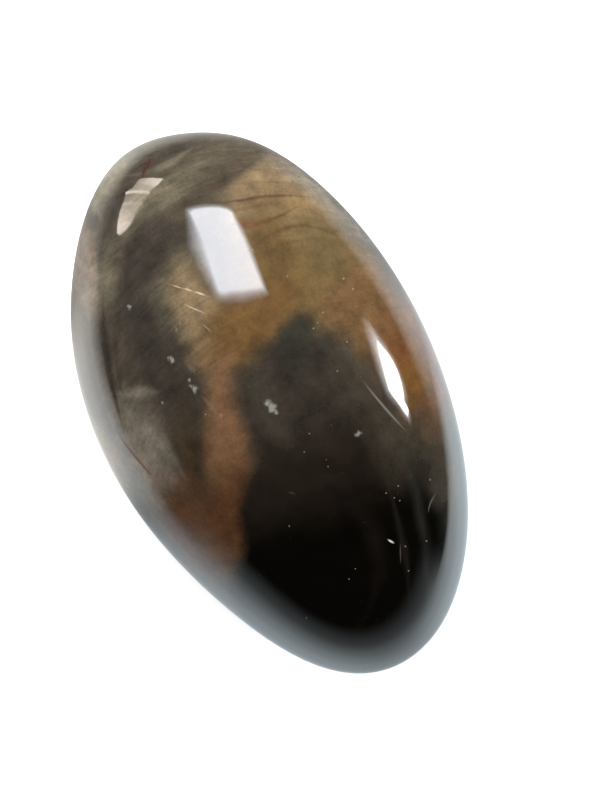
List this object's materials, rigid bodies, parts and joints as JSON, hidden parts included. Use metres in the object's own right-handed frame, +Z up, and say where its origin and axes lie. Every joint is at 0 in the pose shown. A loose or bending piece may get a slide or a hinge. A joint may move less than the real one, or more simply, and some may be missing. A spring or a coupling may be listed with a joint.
{
  "type": "polished jasper pebble",
  "caption": "Smooth egg-shaped pebble of polished multicoloured jasper, blunt at one end and narrower at the other, that rests on a small flat spot.",
  "frame": {"origin": "centre of the bounding box in plan, on the surface that the stone rests on", "axes": "+X along the stone towards its narrower end, +Y towards the flatter long side, +Z up from the flat rest spot"},
  "size_m": [0.08, 0.0474, 0.033],
  "materials": {
    "jasper": "high polish, with ochre, rust, olive and charcoal patches and pale feathery streaks"
  },
  "bodies": {
    "root": {"pebble": "jasper"}
  },
  "joints": []
}
